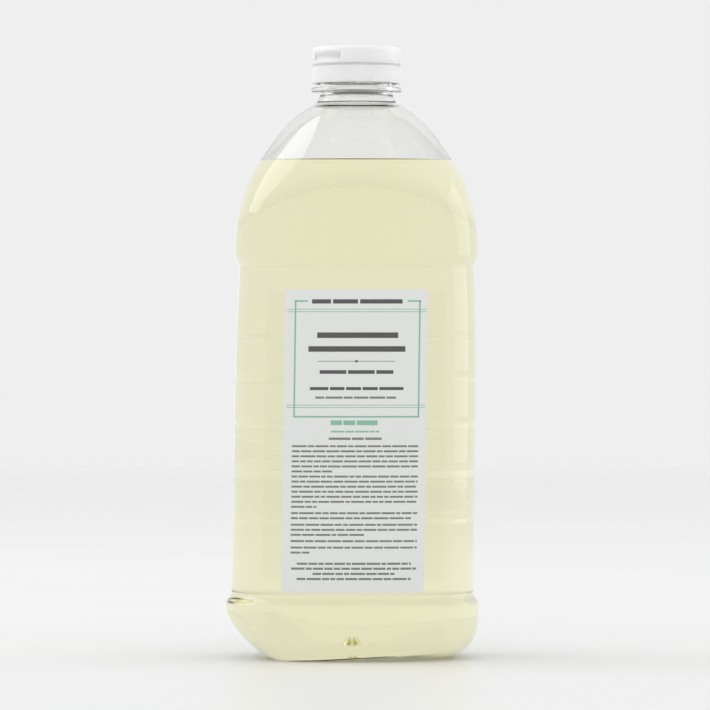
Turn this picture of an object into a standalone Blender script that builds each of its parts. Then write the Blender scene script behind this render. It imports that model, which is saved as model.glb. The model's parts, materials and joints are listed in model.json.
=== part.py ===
"""Clear two-litre refill bottle of liquid hand soap, with a screw-on flip-top cap and one front label.

The front of the bottle faces -Y, +X is to its right and +Z is up. The origin is on the floor, at the
middle of the base. Sizes are in metres.
"""

import math
from dataclasses import dataclass

import bmesh
import bpy

MM = 0.001
SEGMENTS = 40  # straight sides that stand for one full turn
GAP = 0.3 * MM  # clearance kept between pieces that touch

# Bottle body: heights
LIP_BOTTOM_Z = 22.5 * MM
LIP_TOP_Z = 25.5 * MM
FLARE_TOP_Z = 31 * MM
PANEL_TOP_Z = 184.5 * MM
STEP_TOP_Z = 189.5 * MM
SHOULDER_Z = 196 * MM
DOME_TOP_Z = 261.6 * MM

# Bottle body: outlines
LIP_HALF_WIDTH = 59.9 * MM
LIP_HALF_DEPTH = 47.6 * MM
PANEL_HALF_WIDTH = 57.1 * MM
PANEL_HALF_DEPTH = 45.2 * MM
PANEL_TAPER = 1.7 * MM  # how much the panel narrows, each side, towards its top
PANEL_TAPER_START_Z = 120 * MM
SHOULDER_HALF_WIDTH = 57.5 * MM
SHOULDER_HALF_DEPTH = 47.2 * MM
BODY_POWER = 3.0  # 2 is an ellipse, and more is squarer
LEAN_START_Z = 20 * MM
LEAN_TOP_Z = 170 * MM

# Dome: half-widths at a few heights, joined by a smooth curve
DOME_PROFILE = (
    (SHOULDER_Z, SHOULDER_HALF_WIDTH),
    (210 * MM, 55.8 * MM),
    (226 * MM, 50.6 * MM),
    (243 * MM, 40 * MM),
    (255 * MM, 29.8 * MM),
    (DOME_TOP_Z, 20.4 * MM),
)
DOME_DEPTH_RATIO = 0.91  # depth over width where the dome meets the flat front
DOME_EDGE = 1.6 * MM  # width of the soft edge where the flat front and back cut the dome
CUT_HALF_WIDTH = 61 * MM  # half-width of the outline that cuts the dome flat

# Heel: how fully each side rounds under, 1 being a straight slope
HEEL_POWER_LEFT = 1.3
HEEL_POWER_RIGHT = 2.6
HEEL_POWER_DEPTH = 2.6
FOOT_LEFT = 38 * MM
FOOT_RIGHT = 38 * MM
FOOT_HALF_DEPTH = 40 * MM
FOOT_RING_WIDTH = 4 * MM
PUSH_UP_HEIGHT = 4.5 * MM
DIMPLE_RADIUS = 7.8 * MM
DIMPLE_HEIGHT = 6 * MM

# Ribs round the label panel: (height, half the rib's height, depth)
RIBS = (
    (66.6 * MM, 1.3 * MM, 0.25 * MM),
    (89 * MM, 3 * MM, 0.4 * MM),
    (111.2 * MM, 3 * MM, 0.4 * MM),
    (132.8 * MM, 3 * MM, 0.4 * MM),
    (152.8 * MM, 1.3 * MM, 0.25 * MM),
)

# Walls and contents
WALL = 0.6 * MM
NECK_WALL = 1.6 * MM
FILL_Z = 233 * MM

# Neck, 38 mm finish, turned about its own axis a little to the right of the base's middle
NECK_X = 2.1 * MM
NECK_RADIUS = 17.4 * MM
FLARE_RADIUS = 18.9 * MM  # where the neck spreads into the dome
WAIST_RADIUS = 16.8 * MM  # under the support ring
BORE_RADIUS = NECK_RADIUS - NECK_WALL
RING_RADIUS = 21.3 * MM
RING_BOTTOM_Z = 267.3 * MM
RING_TOP_Z = 269.3 * MM
RIM_Z = 277.2 * MM

# Thread
PITCH = 4.23 * MM
THREAD_HEIGHT = 1.2 * MM
THREAD_ROOT = 2 * MM
THREAD_CREST = 1.1 * MM
THREAD_EMBED = 0.5 * MM  # how far a thread's foot goes into the wall that carries it
THREAD_FADE = math.radians(24)  # length of the run-out at each end
NECK_THREAD_Z = 270.9 * MM
NECK_THREAD_TURNS = 1.15
CAP_THREAD_Z = NECK_THREAD_Z + PITCH / 2
CAP_THREAD_TURNS = 0.7

# Cap
CAP_RADIUS = 20.95 * MM
CAP_BOTTOM_Z = 271.3 * MM
CAP_WALL = 2 * MM
DECK_TOP_Z = 280.1 * MM
DECK_THICKNESS = 1.4 * MM
LID_BOTTOM_Z = DECK_TOP_Z + GAP
LID_TOP_Z = 288.7 * MM
LID_TOP_THICKNESS = 1.3 * MM
LID_ROUNDING = 2 * MM
LINER_THICKNESS = DECK_TOP_Z - DECK_THICKNESS - RIM_Z - 2 * GAP
LINER_RADIUS = CAP_RADIUS - CAP_WALL - 0.5 * MM

# Spout and the pin that closes it
SPOUT_OFFSET = 6 * MM  # from the cap's axis, towards the thumb recess
SPOUT_RADIUS = 4.4 * MM
SPOUT_HEIGHT = 3.2 * MM
ORIFICE_RADIUS = 2.8 * MM
PIN_RADIUS = 2.4 * MM
PIN_DEPTH = 1.5 * MM

# Thumb recess at one side of the lid, and the hinge opposite
THUMB_ANGLE = math.radians(223)
THUMB_WIDTH = 18.5 * MM
THUMB_DEPTH = 1.3 * MM
THUMB_ROUNDING = 2.8 * MM  # radius of the recess's round section
THUMB_Z = 283.9 * MM
HINGE_FLAT = 20 * MM  # from the cap's axis to the flat at the hinge
HINGE_FLAT_BOTTOM_Z = 277 * MM
HINGE_AXIS_OFFSET = 20.5 * MM
HINGE_Z = DECK_TOP_Z + GAP / 2

# Label
LABEL_HALF_WIDTH = 33.1 * MM
LABEL_BOTTOM_Z = 32.5 * MM
LABEL_TOP_Z = 173.5 * MM
LABEL_THICKNESS = 0.2 * MM
LABEL_COLUMNS = 16

PARTS = "hand_soap_refill_pack"
CUTTERS = "cutters"


@dataclass(frozen=True)
class Outline:
    """A level outline that can be wider on one side than on the other."""

    left: float
    right: float
    depth: float
    power: float = 2.0

    def radius(self, angle: float) -> float:
        """Distance from the middle to the outline, in the direction of angle."""
        across, along = math.cos(angle), math.sin(angle)
        half_width = self.right if across >= 0 else self.left
        power = self.power
        return (abs(across / half_width) ** power + abs(along / self.depth) ** power) ** (-1 / power)


def blend(start: float, end: float, share: float) -> float:
    """Move smoothly from start to end as share goes from 0 to 1."""
    share = min(max(share, 0.0), 1.0)
    return start + (end - start) * share * share * (3 - 2 * share)


def smooth_profile(points, z: float) -> float:
    """Read a profile of (height, value) points at z, along a curve that passes through them."""
    last = len(points) - 2
    index = max(i for i in range(last + 1) if i == 0 or points[i][0] <= z)
    (z0, v0), (z1, v1) = points[index], points[index + 1]
    before = points[max(index - 1, 0)]
    after = points[min(index + 2, len(points) - 1)]
    slope0 = (v1 - before[1]) / (z1 - before[0])
    slope1 = (after[1] - v0) / (after[0] - z0)
    span = z1 - z0
    t = min(max((z - z0) / span, 0.0), 1.0)
    return (
        (2 * t**3 - 3 * t**2 + 1) * v0
        + (t**3 - 2 * t**2 + t) * span * slope0
        + (3 * t**2 - 2 * t**3) * v1
        + (t**3 - t**2) * span * slope1
    )


def lean_at(z: float) -> float:
    """Sideways place of the body's middle at height z: the body leans a little towards the neck's side."""
    share = (z - LEAN_START_Z) / (LEAN_TOP_Z - LEAN_START_Z)
    return NECK_X * min(max(share, 0.0), 1.0)


def panel_half_width(z: float) -> float:
    """Half-width of the label panel, which narrows towards its top."""
    rise = max(z - PANEL_TAPER_START_Z, 0.0) / (PANEL_TOP_Z - PANEL_TAPER_START_Z)
    return PANEL_HALF_WIDTH - PANEL_TAPER * rise**2


def rib_depth(z: float) -> float:
    """How far the ribs step in at height z."""
    inset = 0.0
    for middle, half_height, depth in RIBS:
        reach = abs(z - middle) / half_height
        if reach < 1:
            inset += depth * (0.5 + 0.5 * math.cos(math.pi * reach))
    return inset


def heel_share(z: float, power: float) -> float:
    """Share of the way from the foot out to the lip that the heel has reached at height z."""
    rise = min(max(z / LIP_BOTTOM_Z, 0.0), 1.0)
    return (1 - (1 - rise) ** power) ** (1 / power)


def lower_outline(z: float) -> Outline:
    """Outline of the heel, the lip and the label panel, which goes on upwards over its top."""
    if z <= LIP_BOTTOM_Z:
        return Outline(
            FOOT_LEFT + (LIP_HALF_WIDTH - FOOT_LEFT) * heel_share(z, HEEL_POWER_LEFT),
            FOOT_RIGHT + (LIP_HALF_WIDTH - FOOT_RIGHT) * heel_share(z, HEEL_POWER_RIGHT),
            FOOT_HALF_DEPTH + (LIP_HALF_DEPTH - FOOT_HALF_DEPTH) * heel_share(z, HEEL_POWER_DEPTH),
            BODY_POWER,
        )
    if z <= FLARE_TOP_Z:
        share = (z - LIP_TOP_Z) / (FLARE_TOP_Z - LIP_TOP_Z)
        half_width = blend(LIP_HALF_WIDTH, panel_half_width(z), share)
        half_depth = blend(LIP_HALF_DEPTH, PANEL_HALF_DEPTH, share)
        return Outline(half_width, half_width, half_depth, BODY_POWER)
    inset = rib_depth(z)
    half_width = panel_half_width(min(z, PANEL_TOP_Z)) - inset
    return Outline(half_width, half_width, PANEL_HALF_DEPTH - inset, BODY_POWER)


def dome_outline(z: float) -> Outline:
    """Outline of the dome alone, which turns from the body's squarish form into the round neck."""
    z = max(z, SHOULDER_Z)
    half_width = smooth_profile(DOME_PROFILE, z)
    share = (z - SHOULDER_Z) / (DOME_TOP_Z - SHOULDER_Z)
    ratio = blend(DOME_DEPTH_RATIO, 1.0, (share - 0.4) / 0.6)
    return Outline(half_width, half_width, half_width * ratio, blend(BODY_POWER, 2.0, share))


def soft_min(first: float, second: float, edge: float) -> float:
    """The smaller of two lengths, with the corner where they cross rounded over edge."""
    near = max(1 - abs(first - second) / edge, 0.0)
    return min(first, second) - near**2 * edge / 4


def body_radius(z: float, angle: float) -> float:
    """Outer radius of the body. Above the step, the dome is cut flat at the front and the back."""
    lower = lower_outline(z).radius(angle)
    cut = Outline(CUT_HALF_WIDTH, CUT_HALF_WIDTH, SHOULDER_HALF_DEPTH, BODY_POWER)
    upper = soft_min(dome_outline(z).radius(angle), cut.radius(angle), DOME_EDGE)
    return blend(lower, upper, (z - PANEL_TOP_Z) / (STEP_TOP_Z - PANEL_TOP_Z))


def turn_angles():
    """The directions of the points round one ring."""
    return [math.tau * step / SEGMENTS for step in range(SEGMENTS)]


def body_ring(z: float, inset: float = 0.0, rise: float = 0.0):
    """Points round the body at height z, inset from its outer face and lifted by rise."""
    middle = lean_at(z)
    points = []
    for angle in turn_angles():
        radius = body_radius(z, angle) - inset
        points.append((middle + radius * math.cos(angle), radius * math.sin(angle), z + rise))
    return points


def inner_ring(z: float, inset: float):
    """Points round the inside of the body: in from its outer face and, over the heel, up from it."""
    return body_ring(z, inset, inset * max(1 - z / LIP_BOTTOM_Z, 0.0))


def round_ring(radius: float, z: float, middle: float = NECK_X):
    """Points round a circle."""
    return [(middle + radius * math.cos(a), radius * math.sin(a), z) for a in turn_angles()]


def floor_rings(shrink: float, rise: float):
    """Rings of the base's hollow, from the dimple's top out to the foot: the underside, or the floor over it."""
    foot = lower_outline(0.0)
    rings = [
        round_ring(DIMPLE_RADIUS * share, PUSH_UP_HEIGHT + DIMPLE_HEIGHT * height + rise, 0.0)
        for share, height in ((0.25, 0.95), (0.5, 0.65), (0.75, 0.2), (1.0, 0.0))
    ]
    for share in (0.5, 0.75, 0.9, 1.0):
        ring = []
        for angle in turn_angles():
            reach = foot.radius(angle) - FOOT_RING_WIDTH - shrink
            radius = DIMPLE_RADIUS + (reach - DIMPLE_RADIUS) * share
            height = PUSH_UP_HEIGHT * (1 - share**2.2) + rise
            ring.append((radius * math.cos(angle), radius * math.sin(angle), height))
        rings.append(ring)
    return rings


def heel_heights():
    """Heights of the rings up the heel, closer together where it curves most."""
    return [LIP_BOTTOM_Z * share for share in (0.05, 0.15, 0.3, 0.5, 0.75, 1.0)]


def rib_heights():
    """Heights of the rings that draw the ribs."""
    heights = []
    for middle, half_height, _ in RIBS:
        heights += [middle - half_height, middle, middle + half_height]
    return heights


def body_heights():
    """Heights of all the rings from the heel to the top of the dome."""
    flare = [LIP_TOP_Z, (LIP_TOP_Z + FLARE_TOP_Z) / 2, FLARE_TOP_Z]
    step = [PANEL_TOP_Z, (PANEL_TOP_Z + STEP_TOP_Z) / 2, STEP_TOP_Z]
    dome = [SHOULDER_Z + (DOME_TOP_Z - SHOULDER_Z) * i / 9 for i in range(10)]
    return heel_heights() + flare + rib_heights() + step + dome


def wall_at(z: float) -> float:
    """Wall thickness, which grows from the shoulder to the neck."""
    return blend(WALL, NECK_WALL, (z - 236 * MM) / (DOME_TOP_Z - 236 * MM))


def skin_loft(name: str, rings, start, end):
    """Join rings into one closed mesh, with a point closing it at each end.

    Args:
        name: the mesh's name.
        rings: lists of points, all of one length, in order along the surface.
        start: the point that closes the first ring.
        end: the point that closes the last ring.

    Returns:
        The mesh, with its faces pointing out.
    """
    bm = bmesh.new()
    rows = [[bm.verts.new(point) for point in ring] for ring in rings]
    first, last = bm.verts.new(start), bm.verts.new(end)
    count = len(rows[0])
    for lower, upper in zip(rows, rows[1:]):
        for i in range(count):
            j = (i + 1) % count
            bm.faces.new((lower[i], lower[j], upper[j], upper[i]))
    for i in range(count):
        j = (i + 1) % count
        bm.faces.new((first, rows[0][j], rows[0][i]))
        bm.faces.new((last, rows[-1][i], rows[-1][j]))
    bmesh.ops.recalc_face_normals(bm, faces=bm.faces)
    mesh = bpy.data.meshes.new(name)
    bm.to_mesh(mesh)
    bm.free()
    return mesh


def make_collection(name: str):
    """Add an empty collection to the scene."""
    collection = bpy.data.collections.new(name)
    bpy.context.scene.collection.children.link(collection)
    return collection


def make_material(name: str, color, roughness: float, alpha: float = 1.0):
    """Make a plain Principled material.

    Args:
        name: the material's name.
        color: linear red, green and blue.
        roughness: 0 for polished, 1 for dull.
        alpha: 1 for opaque.

    Returns:
        The material.
    """
    material = bpy.data.materials.new(name)
    material.use_nodes = True
    shader = material.node_tree.nodes["Principled BSDF"]
    shader.inputs["Base Color"].default_value = (*color, 1.0)
    shader.inputs["Roughness"].default_value = roughness
    shader.inputs["Metallic"].default_value = 0.0
    shader.inputs["Alpha"].default_value = alpha
    return material


def add_object(name: str, mesh, collection, material=None):
    """Link a new object that shows mesh, shaded smooth but for its sharp edges."""
    if material:
        mesh.materials.append(material)
    mesh.shade_smooth()
    mesh.set_sharp_from_angle(angle=math.radians(35))
    obj = bpy.data.objects.new(name, mesh)
    collection.objects.link(obj)
    return obj


def add_helper(name: str, mesh, collection):
    """Link a cutter, or a shape to be joined on: it shows as wire and isn't a piece itself."""
    obj = add_object(name, mesh, collection)
    obj.hide_render = True
    obj.display_type = "WIRE"
    return obj


def add_boolean(obj, other, operation: str):
    """Cut other from obj, or join it on."""
    modifier = obj.modifiers.new(f"{operation.lower()}_{other.name}", "BOOLEAN")
    modifier.operation = operation
    modifier.object = other
    modifier.solver = "EXACT"


def turned_object(name: str, profile, collection, material, origin=(NECK_X, 0, 0)):
    """Turn a profile of (radius, height) points about a vertical axis through origin."""
    mesh = bpy.data.meshes.new(name)
    points = [(radius, 0, z - origin[2]) for radius, z in profile]
    mesh.from_pydata(points, [(i, i + 1) for i in range(len(points) - 1)], [])
    obj = add_object(name, mesh, collection, material)
    obj.location = origin
    screw = obj.modifiers.new("turn", "SCREW")
    screw.steps = screw.render_steps = SEGMENTS
    screw.use_merge_vertices = True
    screw.merge_threshold = 0.00001
    return obj


def cylinder_helper(name: str, radius: float, bottom: float, top: float, place, collection):
    """A vertical cylinder between two heights."""
    bm = bmesh.new()
    bmesh.ops.create_cone(
        bm, cap_ends=True, segments=SEGMENTS // 2, radius1=radius, radius2=radius, depth=top - bottom
    )
    mesh = bpy.data.meshes.new(name)
    bm.to_mesh(mesh)
    bm.free()
    obj = add_helper(name, mesh, collection)
    obj.location = (place[0], place[1], (bottom + top) / 2)
    return obj


def box_helper(name: str, size, place, turn: float, collection):
    """A box of the given size, turned about the vertical."""
    bm = bmesh.new()
    bmesh.ops.create_cube(bm, size=1)
    bmesh.ops.scale(bm, vec=size, verts=bm.verts)
    mesh = bpy.data.meshes.new(name)
    bm.to_mesh(mesh)
    bm.free()
    obj = add_helper(name, mesh, collection)
    obj.location = place
    obj.rotation_euler = (0, 0, turn)
    return obj


def ring_helper(name: str, radius: float, collection):
    """A round ring about the cap's axis, whose inner side hollows the thumb recess."""
    bpy.ops.mesh.primitive_torus_add(
        major_segments=SEGMENTS * 2,
        minor_segments=16,
        major_radius=radius,
        minor_radius=THUMB_ROUNDING,
        location=(NECK_X, 0, THUMB_Z),
    )
    made = bpy.context.object
    mesh = made.data
    bpy.data.objects.remove(made)
    obj = add_helper(name, mesh, collection)
    obj.location = (NECK_X, 0, THUMB_Z)
    return obj


def thread_helper(name: str, wall: float, height: float, start_z: float, start_angle: float, turns: float,
                  collection):
    """A right-hand thread ridge that fades out at both ends.

    Args:
        name: the ridge's name.
        wall: radius of the wall that carries it.
        height: how far it stands out from the wall, negative for a thread inside a cap.
        start_z: height of its middle at its lower end.
        start_angle: direction of its lower end.
        turns: its length.
        collection: where it goes.

    Returns:
        The ridge's object.
    """
    steps = round(turns * SEGMENTS)
    sweep = turns * math.tau
    embed = math.copysign(THREAD_EMBED, height)
    bm = bmesh.new()
    rows = []
    for step in range(steps + 1):
        along = sweep * step / steps
        fade = blend(0, 1, min(along, sweep - along) / THREAD_FADE)
        foot = wall - embed
        crest = foot + (height + embed) * fade + 0.4 * embed * (1 - fade)
        angle = start_angle + along
        z = start_z + PITCH * along / math.tau
        row = []
        for radius, offset in (
            (foot, -THREAD_ROOT / 2),
            (crest, -THREAD_CREST / 2),
            (crest, THREAD_CREST / 2),
            (foot, THREAD_ROOT / 2),
        ):
            row.append(bm.verts.new((radius * math.cos(angle), radius * math.sin(angle), z + offset)))
        rows.append(row)
    for low, high in zip(rows, rows[1:]):
        for i in range(4):
            j = (i + 1) % 4
            bm.faces.new((low[i], low[j], high[j], high[i]))
    bm.faces.new(rows[0])
    bm.faces.new(rows[-1])
    bmesh.ops.recalc_face_normals(bm, faces=bm.faces)
    mesh = bpy.data.meshes.new(name)
    bm.to_mesh(mesh)
    bm.free()
    obj = add_helper(name, mesh, collection)
    obj.location.x = NECK_X
    return obj


def neck_rings():
    """Rings of the neck, from the dome up over the rim and down the bore."""
    outside = (
        (FLARE_RADIUS, DOME_TOP_Z + 0.5 * MM),
        (FLARE_RADIUS - 0.6 * MM, DOME_TOP_Z + 1.9 * MM),
        (WAIST_RADIUS + 0.6 * MM, DOME_TOP_Z + 3.8 * MM),
        (WAIST_RADIUS, RING_BOTTOM_Z),
        (RING_RADIUS - 0.4 * MM, RING_BOTTOM_Z + 0.1 * MM),
        (RING_RADIUS, RING_BOTTOM_Z + 0.5 * MM),
        (RING_RADIUS, RING_TOP_Z - 0.5 * MM),
        (RING_RADIUS - 0.4 * MM, RING_TOP_Z - 0.1 * MM),
        (NECK_RADIUS, RING_TOP_Z),
        (NECK_RADIUS, RIM_Z - 0.3 * MM),
        (NECK_RADIUS - 0.3 * MM, RIM_Z),
    )
    bore = (
        (BORE_RADIUS + 0.3 * MM, RIM_Z),
        (BORE_RADIUS, RIM_Z - 0.3 * MM),
        (BORE_RADIUS, RING_BOTTOM_Z + 0.8 * MM),
        (BORE_RADIUS - 0.4 * MM, RING_BOTTOM_Z - 0.4 * MM),
        (FLARE_RADIUS - NECK_WALL - 0.3 * MM, DOME_TOP_Z + 1.6 * MM),
    )
    return [round_ring(radius, z) for radius, z in outside + bore]


def make_bottle(parts, cutters):
    """The blown bottle: one wall from the base's hollow up to the neck's rim and back down inside."""
    outside = floor_rings(0.0, 0.0) + [body_ring(0.0)]
    outside += [body_ring(z) for z in body_heights()]
    inside = [inner_ring(z, wall_at(z)) for z in reversed(body_heights()) if z > LIP_BOTTOM_Z * 0.1]
    inside += [body_ring(0.0, 2 * WALL, WALL)]
    inside += reversed(floor_rings(-WALL, WALL))
    top = PUSH_UP_HEIGHT + DIMPLE_HEIGHT
    mesh = skin_loft("bottle", outside + neck_rings() + inside, (0, 0, top), (0, 0, top + WALL))
    material = make_material("clear_pet", (0.86, 0.9, 0.84), 0.05, 0.3)
    bottle = add_object("bottle", mesh, parts, material)
    thread = thread_helper(
        "neck_thread", NECK_RADIUS, THREAD_HEIGHT, NECK_THREAD_Z, 0.0, NECK_THREAD_TURNS, cutters
    )
    add_boolean(bottle, thread, "UNION")


def make_soap(parts):
    """The soap that fills the bottle to just under its neck."""
    inset = WALL + GAP
    heights = [z for z in body_heights() if LIP_BOTTOM_Z * 0.1 < z < FILL_Z - MM] + [FILL_Z]
    rings = floor_rings(-inset, inset) + [body_ring(0.0, 2 * inset, inset)]
    rings += [inner_ring(z, inset) for z in heights]
    floor_top = PUSH_UP_HEIGHT + DIMPLE_HEIGHT + inset
    mesh = skin_loft("liquid_soap", rings[::-1], (lean_at(FILL_Z), 0, FILL_Z), (0, 0, floor_top))
    add_object("liquid_soap", mesh, parts, make_material("soap", (0.72, 0.72, 0.3), 0.05, 0.6))


def make_label(parts):
    """The front label: a thin sheet that follows the front of the panel and bridges its ribs."""
    sheet = Outline(PANEL_HALF_WIDTH, PANEL_HALF_WIDTH, PANEL_HALF_DEPTH + GAP, BODY_POWER)
    bm = bmesh.new()
    rows = []
    for z in (LABEL_BOTTOM_Z, LABEL_TOP_Z):
        row = []
        for column in range(LABEL_COLUMNS + 1):
            x = LABEL_HALF_WIDTH * (2 * column / LABEL_COLUMNS - 1)
            rise = 1 - abs(x / sheet.left) ** sheet.power
            row.append(bm.verts.new((lean_at(z) + x, -sheet.depth * rise ** (1 / sheet.power), z)))
        rows.append(row)
    for i in range(LABEL_COLUMNS):
        bm.faces.new((rows[0][i], rows[0][i + 1], rows[1][i + 1], rows[1][i]))
    mesh = bpy.data.meshes.new("front_label")
    bm.to_mesh(mesh)
    bm.free()
    label = add_object("front_label", mesh, parts, make_material("label_film", (0.72, 0.73, 0.72), 0.4))
    solidify = label.modifiers.new("film", "SOLIDIFY")
    solidify.thickness = LABEL_THICKNESS
    solidify.offset = 1


def make_liner(parts):
    """The sealing disc that the cap presses onto the neck's rim."""
    bottom = RIM_Z + GAP
    top = bottom + LINER_THICKNESS
    profile = ((0, top), (LINER_RADIUS, top), (LINER_RADIUS, bottom), (0, bottom))
    turned_object("cap_liner", profile, parts, make_material("liner_foam", (0.8, 0.8, 0.78), 0.7))


def along_thumb(distance: float):
    """A point at this distance from the cap's axis, towards the thumb recess."""
    return NECK_X + distance * math.cos(THUMB_ANGLE), distance * math.sin(THUMB_ANGLE)


def hinge_flat_cutter(name: str, bottom: float, top: float, cutters):
    """A box that flattens the cap's round side at the hinge."""
    reach = 6 * MM
    x, y = along_thumb(-(HINGE_FLAT + reach / 2))
    size = (reach, 20 * MM, top - bottom)
    return box_helper(name, size, (x, y, (bottom + top) / 2), THUMB_ANGLE, cutters)


def make_cap_body(parts, cutters, material):
    """The screw-on half of the cap: skirt, deck, spout and inner thread."""
    inner = CAP_RADIUS - CAP_WALL
    deck_bottom = DECK_TOP_Z - DECK_THICKNESS
    edge = 0.4 * MM
    profile = (
        (0, DECK_TOP_Z),
        (CAP_RADIUS - edge, DECK_TOP_Z),
        (CAP_RADIUS, DECK_TOP_Z - edge),
        (CAP_RADIUS, CAP_BOTTOM_Z + edge),
        (CAP_RADIUS - edge, CAP_BOTTOM_Z),
        (inner + edge, CAP_BOTTOM_Z),
        (inner, CAP_BOTTOM_Z + edge),
        (inner, deck_bottom),
        (0, deck_bottom),
    )
    body = turned_object("cap_body", profile, parts, material)
    spout_place = along_thumb(SPOUT_OFFSET)
    spout = cylinder_helper(
        "spout", SPOUT_RADIUS, deck_bottom + 0.5 * MM, DECK_TOP_Z + SPOUT_HEIGHT, spout_place, cutters
    )
    orifice = cylinder_helper(
        "orifice", ORIFICE_RADIUS, deck_bottom - MM, DECK_TOP_Z + SPOUT_HEIGHT + MM, spout_place, cutters
    )
    thread = thread_helper(
        "cap_thread", inner, -THREAD_HEIGHT, CAP_THREAD_Z, 0.0, CAP_THREAD_TURNS, cutters
    )
    add_boolean(body, spout, "UNION")
    add_boolean(body, orifice, "DIFFERENCE")
    add_boolean(body, thread, "UNION")
    flat = hinge_flat_cutter("body_hinge_flat", HINGE_FLAT_BOTTOM_Z, DECK_TOP_Z + MM, cutters)
    add_boolean(body, flat, "DIFFERENCE")


def make_flip_lid(parts, cutters, material):
    """The hinged half of the cap, with the pin that closes the spout and the recess that a thumb pushes."""
    inner = CAP_RADIUS - CAP_WALL
    ceiling = LID_TOP_Z - LID_TOP_THICKNESS
    hinge_x, hinge_y = along_thumb(-HINGE_AXIS_OFFSET)
    profile = [(0, LID_TOP_Z)]
    for step in range(5):
        angle = math.radians(90 - 90 * step / 4)
        radius = CAP_RADIUS - LID_ROUNDING + LID_ROUNDING * math.cos(angle)
        profile.append((radius, LID_TOP_Z - LID_ROUNDING + LID_ROUNDING * math.sin(angle)))
    profile += [(CAP_RADIUS, LID_BOTTOM_Z), (inner, LID_BOTTOM_Z), (inner, ceiling - MM)]
    profile += [(inner - MM, ceiling), (0, ceiling)]
    lid = turned_object("flip_lid", profile, parts, material)
    pin = cylinder_helper(
        "spout_pin",
        PIN_RADIUS,
        DECK_TOP_Z + SPOUT_HEIGHT - PIN_DEPTH,
        ceiling + 0.6 * MM,
        along_thumb(SPOUT_OFFSET),
        cutters,
    )
    add_boolean(lid, pin, "UNION")
    recess = ring_helper("thumb_recess", CAP_RADIUS - THUMB_DEPTH + THUMB_ROUNDING, cutters)
    thumb_x, thumb_y = along_thumb(CAP_RADIUS)
    window = box_helper(
        "thumb_window",
        (14 * MM, THUMB_WIDTH, 4 * THUMB_ROUNDING),
        (thumb_x, thumb_y, THUMB_Z),
        THUMB_ANGLE,
        cutters,
    )
    add_boolean(recess, window, "INTERSECT")
    add_boolean(lid, recess, "DIFFERENCE")
    flat = hinge_flat_cutter("lid_hinge_flat", DECK_TOP_Z - MM, LID_TOP_Z + MM, cutters)
    add_boolean(lid, flat, "DIFFERENCE")
    hinge = bpy.data.objects.new("lid_hinge_axis", None)
    hinge.location = (hinge_x, hinge_y, HINGE_Z)
    parts.objects.link(hinge)
    lid.parent = hinge
    lid.location = (NECK_X - hinge_x, -hinge_y, -HINGE_Z)


def main():
    for obj in list(bpy.data.objects):
        bpy.data.objects.remove(obj)
    parts = make_collection(PARTS)
    cutters = make_collection(CUTTERS)
    make_bottle(parts, cutters)
    make_soap(parts)
    make_label(parts)
    make_liner(parts)
    cap_plastic = make_material("translucent_polypropylene", (0.8, 0.81, 0.79), 0.35, 0.9)
    make_cap_body(parts, cutters, cap_plastic)
    make_flip_lid(parts, cutters, cap_plastic)


main()
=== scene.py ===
"""Looks of a clear two-litre refill bottle of liquid hand soap, with a screw-on flip-top cap and one front label.

The front of the bottle faces -Y, +X is to its right and +Z is up. The origin is on the floor, at the middle of
the base. Sizes in the code are in millimetres, and meshes are made in metres.
"""

import json
import logging
import math
from dataclasses import dataclass, field
from enum import Enum

import bmesh
import bpy
import numpy as np
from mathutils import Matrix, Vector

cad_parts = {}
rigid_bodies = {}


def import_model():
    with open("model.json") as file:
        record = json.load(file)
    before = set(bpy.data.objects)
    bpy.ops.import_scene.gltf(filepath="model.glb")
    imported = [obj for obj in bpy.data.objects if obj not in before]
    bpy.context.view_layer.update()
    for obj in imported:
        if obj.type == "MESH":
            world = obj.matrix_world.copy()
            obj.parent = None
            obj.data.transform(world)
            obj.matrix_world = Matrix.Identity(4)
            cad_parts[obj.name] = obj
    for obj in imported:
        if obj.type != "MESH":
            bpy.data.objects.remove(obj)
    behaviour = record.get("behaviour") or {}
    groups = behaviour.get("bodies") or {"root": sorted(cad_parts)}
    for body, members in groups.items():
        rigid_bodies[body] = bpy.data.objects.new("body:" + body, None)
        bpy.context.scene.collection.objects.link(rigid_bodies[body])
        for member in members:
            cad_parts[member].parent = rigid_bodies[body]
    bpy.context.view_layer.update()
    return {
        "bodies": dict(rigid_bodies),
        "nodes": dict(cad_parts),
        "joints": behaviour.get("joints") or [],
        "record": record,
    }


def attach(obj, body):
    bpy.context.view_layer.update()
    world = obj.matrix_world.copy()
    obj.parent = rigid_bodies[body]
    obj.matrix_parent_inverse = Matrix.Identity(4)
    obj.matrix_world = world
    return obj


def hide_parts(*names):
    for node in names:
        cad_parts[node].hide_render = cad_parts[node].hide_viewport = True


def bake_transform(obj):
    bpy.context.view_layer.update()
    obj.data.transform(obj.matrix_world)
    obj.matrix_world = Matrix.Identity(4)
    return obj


LOG = logging.getLogger("scene")
MM = 0.001
TAU = math.tau
THREAD_START = 270.9  # height where the neck's thread starts
THREAD_PITCH = 4.23


# --------------------------------------------------------------------------- numbers and meshes


def srgb(code: str) -> tuple[float, float, float, float]:
    """Turn a hex sRGB colour into linear red, green, blue and alpha.

    Args:
        code: the colour, as "#RRGGBB".

    Returns:
        Its linear values, with alpha 1.
    """
    values = [int(code[i : i + 2], 16) / 255 for i in (1, 3, 5)]
    linear = [v / 12.92 if v <= 0.04045 else ((v + 0.055) / 1.055) ** 2.4 for v in values]
    return (*linear, 1.0)


def share_of(value, start: float, end: float):
    """Smooth share, from 0 to 1, of the way that value has gone from start to end.

    Args:
        value: a number or an array.
        start: where the share is 0.
        end: where the share is 1.

    Returns:
        The share, in the same form as value.
    """
    t = np.clip((np.asarray(value, float) - start) / (end - start), 0, 1)
    return t * t * (3 - 2 * t)


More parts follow.
